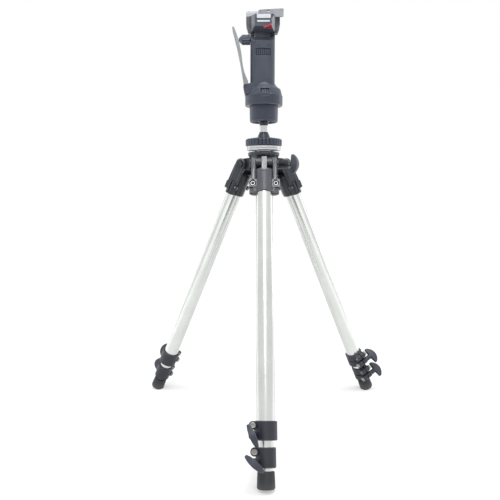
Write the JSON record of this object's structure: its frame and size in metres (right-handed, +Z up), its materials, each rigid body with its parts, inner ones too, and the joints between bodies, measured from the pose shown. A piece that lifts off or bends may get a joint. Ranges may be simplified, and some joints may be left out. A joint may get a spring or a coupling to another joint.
{
  "type": "camera tripod with ball head",
  "caption": "Camera tripod: telescoping legs with wing clamps on a folding shoulder, sliding centre column, grip-action ball head and hexagonal quick-release plate.",
  "frame": {"origin": "on the floor at the middle of the footprint's box", "axes": "+Z up along the centre column, -Y towards the front leg and the grip's front, +X to the right"},
  "size_m": [0.4516, 0.4042, 0.6745],
  "materials": {
    "textured_paint": "charcoal stove enamel, fine texture",
    "tube_aluminium": "satin anodised tube",
    "zinc_steel": "bright zinc plated",
    "latch_steel": "pressed steel",
    "nylon": "glass-filled nylon, moulded",
    "foot_rubber": "moulded rubber",
    "plate_aluminium": "turned and brushed",
    "stem_steel": "turned",
    "ball_black": "hard anodised black",
    "liner_acetal": "acetal",
    "grip_polymer": "soft-touch moulded",
    "lever_metal": "satin grey die-cast",
    "wheel_polymer": "moulded grey",
    "pad_rubber": "ribbed rubber",
    "catch_red": "moulded red"
  },
  "bodies": {
    "hub": {"hub_casting": "textured_paint", "leg_pivot_bolts": "zinc_steel"},
    "sleeve": {"column_bushing": "nylon"},
    "column": {"column_tube": "tube_aluminium", "column_end_cap": "nylon", "column_top_plate": "plate_aluminium", "head_base": "grip_polymer", "ball_stem": "stem_steel"},
    "column_lock": {"column_lock_screw": "nylon"},
    "ball": {"ball": "ball_black"},
    "shoe": {"brake_shoe": "plate_aluminium"},
    "grip": {"grip_housing": "grip_polymer", "ball_housing": "grip_polymer", "socket_liner": "liner_acetal", "lever_pin": "zinc_steel", "tilt_bolt": "zinc_steel"},
    "lever": {"grip_lever": "lever_metal"},
    "plunger": {"brake_plunger": "plate_aluminium"},
    "friction_wheel": {"friction_ring": "wheel_polymer"},
    "tilt_lock": {"tilt_knob": "nylon"},
    "platform": {"platform": "textured_paint", "platform_pins": "zinc_steel"},
    "release_lever": {"qr_lever": "lever_metal"},
    "catch": {"safety_catch": "catch_red"},
    "plate": {"camera_plate": "plate_aluminium", "plate_pad": "pad_rubber"},
    "camera_screw": {"camera_screw": "zinc_steel"},
    "front_leg": {"front_casting": "textured_paint", "front_bolts": "zinc_steel", "front_upper_tube": "tube_aluminium", "front_upper_clamp": "nylon"},
    "front_latch": {"front_latch": "latch_steel"},
    "front_middle": {"front_middle_tube": "tube_aluminium", "front_lower_clamp": "nylon"},
    "front_lower": {"front_lower_tube": "tube_aluminium", "front_foot": "foot_rubber"},
    "front_upper_wing": {"front_upper_wing": "nylon"},
    "front_lower_wing": {"front_lower_wing": "nylon"},
    "right_leg": {"right_casting": "textured_paint", "right_bolts": "zinc_steel", "right_upper_tube": "tube_aluminium", "right_upper_clamp": "nylon"},
    "right_latch": {"right_latch": "latch_steel"},
    "right_middle": {"right_middle_tube": "tube_aluminium", "right_lower_clamp": "nylon"},
    "right_lower": {"right_lower_tube": "tube_aluminium", "right_foot": "foot_rubber"},
    "right_upper_wing": {"right_upper_wing": "nylon"},
    "right_lower_wing": {"right_lower_wing": "nylon"},
    "left_leg": {"left_casting": "textured_paint", "left_bolts": "zinc_steel", "left_upper_tube": "tube_aluminium", "left_upper_clamp": "nylon"},
    "left_latch": {"left_latch": "latch_steel"},
    "left_middle": {"left_middle_tube": "tube_aluminium", "left_lower_clamp": "nylon"},
    "left_lower": {"left_lower_tube": "tube_aluminium", "left_foot": "foot_rubber"},
    "left_upper_wing": {"left_upper_wing": "nylon"},
    "left_lower_wing": {"left_lower_wing": "nylon"}
  },
  "joints": [
    {"name": "column_turn", "type": "hinge", "parent": "hub", "child": "sleeve", "pos_m": [-0.00777, 0.0558, 0.43424], "axis": [0, 0, 1], "continuous": true},
    {"name": "column_lift", "type": "slide", "parent": "sleeve", "child": "column", "axis": [0, 0, 1], "range_m": [0, 0.22]},
    {"name": "column_lock_turn", "type": "hinge", "parent": "hub", "child": "column_lock", "pos_m": [0.03639, 0.0303, 0.43284], "axis": [0.866, -0.5, 0], "range_deg": [0, 180]},
    {"name": "ball_pan", "type": "hinge", "parent": "column", "child": "ball", "pos_m": [-0.00777, 0.0558, 0.51904], "axis": [0, 0, 1], "continuous": true},
    {"name": "ball_nod", "type": "hinge", "parent": "ball", "child": "shoe", "pos_m": [-0.00777, 0.0558, 0.51904], "axis": [1, 0, 0], "range_deg": [-24, 24]},
    {"name": "ball_roll", "type": "hinge", "parent": "shoe", "child": "grip", "pos_m": [-0.00777, 0.0558, 0.51904], "axis": [0, 1, 0], "range_deg": [-24, 24]},
    {"name": "lever_squeeze", "type": "hinge", "parent": "grip", "child": "lever", "pos_m": [-0.03697, 0.0558, 0.55654], "axis": [0, 1, 0], "range_deg": [0, 9], "stiffness_Nm_per_rad": 1, "springref_deg": -8.59},
    {"name": "plunger_lift", "type": "slide", "parent": "grip", "child": "plunger", "axis": [0, 0, 1], "range_m": [0, 0.001]},
    {"name": "friction_turn", "type": "hinge", "parent": "grip", "child": "friction_wheel", "pos_m": [-0.00777, 0.0558, 0.54474], "axis": [0, 0, 1], "range_deg": [-90, 90]},
    {"name": "tilt_lock_turn", "type": "hinge", "parent": "grip", "child": "tilt_lock", "pos_m": [-0.02992, 0.0558, 0.63284], "axis": [-1, 0, 0], "range_deg": [0, 180]},
    {"name": "platform_tilt", "type": "hinge", "parent": "grip", "child": "platform", "pos_m": [-0.00777, 0.0558, 0.63284], "axis": [-1, 0, 0], "range_deg": [0, 90]},
    {"name": "release_swing", "type": "hinge", "parent": "platform", "child": "release_lever", "pos_m": [-0.01237, 0.0378, 0.66604], "axis": [0, 0, -1], "range_deg": [0, 60], "stiffness_Nm_per_rad": 0.05, "springref_deg": -5.73},
    {"name": "catch_swing", "type": "hinge", "parent": "platform", "child": "catch", "pos_m": [0.00083, 0.035, 0.64743], "axis": [0, -0.4283, -0.9036], "range_deg": [0, 14], "stiffness_Nm_per_rad": 0.02, "springref_deg": -5.73},
    {"name": "plate_release", "type": "slide", "parent": "platform", "child": "plate", "axis": [0, 0, 1], "range_m": [0, 0.03]},
    {"name": "camera_screw_lift", "type": "slide", "parent": "plate", "child": "camera_screw", "axis": [0, 0, 1], "range_m": [0, 0.0055]},
    {"name": "front_leg_swing", "type": "hinge", "parent": "hub", "child": "front_leg", "pos_m": [-0.00777, 0.0218, 0.43424], "axis": [-1, 0, 0], "range_deg": [-25.5, 60]},
    {"name": "front_latch_swing", "type": "hinge", "parent": "front_leg", "child": "front_latch", "pos_m": [-0.00777, 0.00347, 0.42414], "axis": [1, 0, 0], "range_deg": [0, 10], "stiffness_Nm_per_rad": 0.2, "springref_deg": -11.46},
    {"name": "front_middle_slide", "type": "slide", "parent": "front_leg", "child": "front_middle", "axis": [0, -0.4305, -0.9026], "range_m": [0, 0.33]},
    {"name": "front_lower_slide", "type": "slide", "parent": "front_middle", "child": "front_lower", "axis": [0, -0.4305, -0.9026], "range_m": [0, 0.33]},
    {"name": "front_upper_wing_turn", "type": "hinge", "parent": "front_leg", "child": "front_upper_wing", "pos_m": [-0.02552, -0.16362, 0.06687], "axis": [0, -0.9026, 0.4305], "range_deg": [0, 180]},
    {"name": "front_lower_wing_turn", "type": "hinge", "parent": "front_middle", "child": "front_lower_wing", "pos_m": [-0.02303, -0.1783, 0.0361], "axis": [0, -0.9026, 0.4305], "range_deg": [0, 180]},
    {"name": "right_leg_swing", "type": "hinge", "parent": "hub", "child": "right_leg", "pos_m": [0.02167, 0.0728, 0.43424], "axis": [0.5, -0.866, 0], "range_deg": [-25.5, 60]},
    {"name": "right_latch_swing", "type": "hinge", "parent": "right_leg", "child": "right_latch", "pos_m": [0.03755, 0.08196, 0.42414], "axis": [-0.5, 0.866, 0], "range_deg": [0, 10], "stiffness_Nm_per_rad": 0.2, "springref_deg": -11.46},
    {"name": "right_middle_slide", "type": "slide", "parent": "right_leg", "child": "right_middle", "axis": [0.3728, 0.2153, -0.9026], "range_m": [0, 0.33]},
    {"name": "right_lower_slide", "type": "slide", "parent": "right_middle", "child": "right_lower", "axis": [0.3728, 0.2153, -0.9026], "range_m": [0, 0.33]},
    {"name": "right_upper_wing_turn", "type": "hinge", "parent": "right_leg", "child": "right_upper_wing", "pos_m": [0.19112, 0.15014, 0.06687], "axis": [0.7817, 0.4513, 0.4305], "range_deg": [0, 180]},
    {"name": "right_lower_wing_turn", "type": "hinge", "parent": "right_middle", "child": "right_lower_wing", "pos_m": [0.20259, 0.15964, 0.0361], "axis": [0.7817, 0.4513, 0.4305], "range_deg": [0, 180]},
    {"name": "left_leg_swing", "type": "hinge", "parent": "hub", "child": "left_leg", "pos_m": [-0.03722, 0.0728, 0.43424], "axis": [0.5, 0.866, 0], "range_deg": [-25.5, 60]},
    {"name": "left_latch_swing", "type": "hinge", "parent": "left_leg", "child": "left_latch", "pos_m": [-0.05309, 0.08196, 0.42414], "axis": [-0.5, -0.866, 0], "range_deg": [0, 10], "stiffness_Nm_per_rad": 0.2, "springref_deg": -11.46},
    {"name": "left_middle_slide", "type": "slide", "parent": "left_leg", "child": "left_middle", "axis": [-0.3728, 0.2153, -0.9026], "range_m": [0, 0.33]},
    {"name": "left_lower_slide", "type": "slide", "parent": "left_middle", "child": "left_lower", "axis": [-0.3728, 0.2153, -0.9026], "range_m": [0, 0.33]},
    {"name": "left_upper_wing_turn", "type": "hinge", "parent": "left_leg", "child": "left_upper_wing", "pos_m": [-0.18892, 0.18087, 0.06687], "axis": [-0.7817, 0.4513, 0.4305], "range_deg": [0, 180]},
    {"name": "left_lower_wing_turn", "type": "hinge", "parent": "left_middle", "child": "left_lower_wing", "pos_m": [-0.20288, 0.18606, 0.0361], "axis": [-0.7817, 0.4513, 0.4305], "range_deg": [0, 180]}
  ],
  "couplings": [
    {"joint": "plunger_lift", "follows": "lever_squeeze", "m_per_rad": 0.006366}
  ]
}
